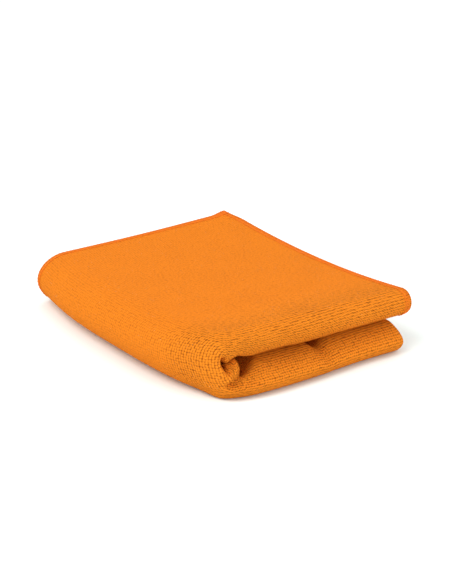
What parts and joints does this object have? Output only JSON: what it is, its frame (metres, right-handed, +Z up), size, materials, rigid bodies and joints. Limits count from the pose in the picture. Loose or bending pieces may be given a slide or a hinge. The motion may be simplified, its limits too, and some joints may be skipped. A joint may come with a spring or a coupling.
{
  "type": "folded terry towel",
  "caption": "Knitted microfibre towel folded in three into a flat rectangular bundle with two round noses, whose upper half opens like a book.",
  "frame": {"origin": "middle of the footprint, on the surface the bundle lies on", "axes": "+Z up; +Y along the last, book-like fold, away from the side with the two round noses; +X from the book fold towards the open ends"},
  "size_m": [0.1184, 0.148, 0.0308],
  "materials": {
    "terry_knit": "matt knitted microfibre terry, bright orange, in fine rows of loops",
    "overlock_thread": "satin polyester overlock thread, bright orange"
  },
  "bodies": {
    "lower_half": {"outer_leaf_lower": "terry_knit", "inner_leaf_lower": "terry_knit", "crosswise_fold": "terry_knit", "outer_leaf_bend": "terry_knit", "inner_leaf_bend": "terry_knit", "long_hem_outside_outer_lower": "overlock_thread", "long_hem_outside_inner_lower": "overlock_thread", "long_hem_outside_turn": "overlock_thread", "long_hem_outside_outer_bend": "overlock_thread", "long_hem_outside_inner_bend": "overlock_thread", "long_hem_inside_outer_lower": "overlock_thread", "long_hem_inside_inner_lower": "overlock_thread", "long_hem_inside_turn": "overlock_thread", "long_hem_inside_outer_bend": "overlock_thread", "long_hem_inside_inner_bend": "overlock_thread"},
    "upper_half": {"outer_leaf_upper": "terry_knit", "inner_leaf_upper": "terry_knit", "short_hem_outer": "overlock_thread", "short_hem_inner": "overlock_thread", "long_hem_outside_outer_upper": "overlock_thread", "long_hem_outside_inner_upper": "overlock_thread", "long_hem_inside_outer_upper": "overlock_thread", "long_hem_inside_inner_upper": "overlock_thread"}
  },
  "joints": [
    {"name": "book_fold", "type": "hinge", "parent": "lower_half", "child": "upper_half", "pos_m": [-0.04365, 0, 0.0154], "axis": [0, -1, 0], "range_deg": [0, 178], "deforming": ["outer_leaf_bend", "inner_leaf_bend", "long_hem_outside_outer_bend", "long_hem_outside_inner_bend", "long_hem_inside_outer_bend", "long_hem_inside_inner_bend"]}
  ]
}
